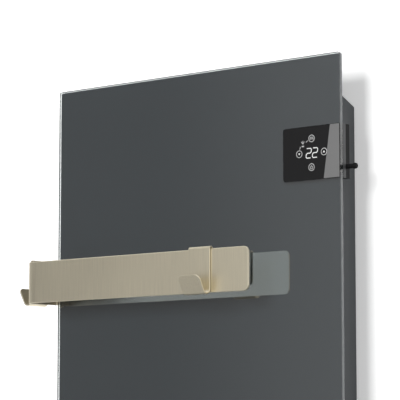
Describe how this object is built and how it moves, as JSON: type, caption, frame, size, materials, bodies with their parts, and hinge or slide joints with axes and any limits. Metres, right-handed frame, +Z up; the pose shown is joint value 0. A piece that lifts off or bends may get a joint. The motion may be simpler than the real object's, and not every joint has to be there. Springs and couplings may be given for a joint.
{
  "type": "heated towel rail",
  "caption": "Wall-hung glass towel radiator with a steel casing behind, a flat bent towel bar, two sliding hooks, a touch controller and a side push button.",
  "frame": {"origin": "centre of the wall bracket's four bolt holes, on the wall's face", "axes": "+Z up, +Y into the wall, +X to the right seen from the room"},
  "size_m": [0.5596, 0.1408, 1],
  "materials": {
    "clear_glass": "clear tempered glass, polished edge",
    "anthracite_enamel": "dark enamel fired on the glass",
    "dark_paint": "fine-textured dark grey powder coat",
    "brushed_nickel": "warm brushed nickel",
    "black_gloss": "glossy black",
    "grey_plastic": "satin grey",
    "black_plastic": "satin black",
    "galvanised_steel": "zinc-plated sheet",
    "screw_steel": "zinc-plated",
    "dark_screw": "blackened steel",
    "aluminium_sheet": "rolled",
    "carbon_film": "carbon-printed film",
    "mineral_board": "pressed mineral fibre",
    "black_rubber": "matte",
    "circuit_board": "solder mask green",
    "component_black": "moulded",
    "relay_blue": "moulded",
    "terminal_cream": "moulded",
    "wire_grey": "silicone insulation",
    "wire_earth": "silicone insulation",
    "brass_plate": "plated"
  },
  "bodies": {
    "heater": {"glass_panel": "clear_glass", "rear_enamel": "anthracite_enamel", "heating_film": "carbon_film", "heat_spreader": "aluminium_sheet", "insulation_board": "mineral_board", "thermal_cutout": "component_black", "temperature_sensor": "brass_plate", "sensor_clip": "galvanised_steel", "adhesive_frame": "black_rubber", "rear_casing": "dark_paint", "towel_bar": "brushed_nickel", "bar_pad": "black_rubber", "bar_backing_plate": "galvanised_steel", "bar_screws": "dark_screw", "control_fascia": "black_gloss", "controller_front_shell": "grey_plastic", "controller_rear_shell": "black_plastic", "controller_screws": "dark_screw", "display_board": "circuit_board", "digit_module": "component_black", "touch_springs": "screw_steel", "button_spring": "screw_steel", "button_switch": "component_black", "electronics_tray": "galvanised_steel", "board_standoffs": "brass_plate", "power_board": "circuit_board", "board_screws": "screw_steel", "relay": "relay_blue", "supply_module": "component_black", "board_header": "terminal_cream", "terminal_block": "terminal_cream", "terminal_screws": "brass_plate", "earth_stud": "brass_plate", "earth_nut": "brass_plate", "film_tabs": "brass_plate", "element_leads": "wire_grey", "cutout_leads": "wire_grey", "earth_lead": "wire_earth", "board_leads": "wire_grey", "sensor_lead": "wire_grey", "control_cable": "wire_grey", "service_cover": "dark_paint", "cover_screws": "dark_screw", "cable_gland": "black_plastic", "gland_nut": "black_plastic", "wall_bracket": "galvanised_steel", "lock_nuts": "screw_steel", "lock_screws": "screw_steel", "spacer_pads": "black_rubber"},
    "power_button": {"power_button": "black_plastic", "button_clip": "screw_steel"},
    "right_hook": {"right_towel_hook": "brushed_nickel"},
    "left_hook": {"left_towel_hook": "brushed_nickel"}
  },
  "joints": [
    {"name": "button_press", "type": "slide", "parent": "heater", "child": "power_button", "axis": [-1, 0, 0], "range_m": [0, 0.002], "stiffness_N_per_m": 400, "springref_m": -0.002, "deforming": ["button_spring"]},
    {"name": "right_hook_slide", "type": "slide", "parent": "heater", "child": "right_hook", "axis": [1, 0, 0], "range_m": [-0.28, 0.055]},
    {"name": "left_hook_slide", "type": "slide", "parent": "heater", "child": "left_hook", "axis": [0, 1, 0], "range_m": [-0.0015, 0.0065]}
  ]
}
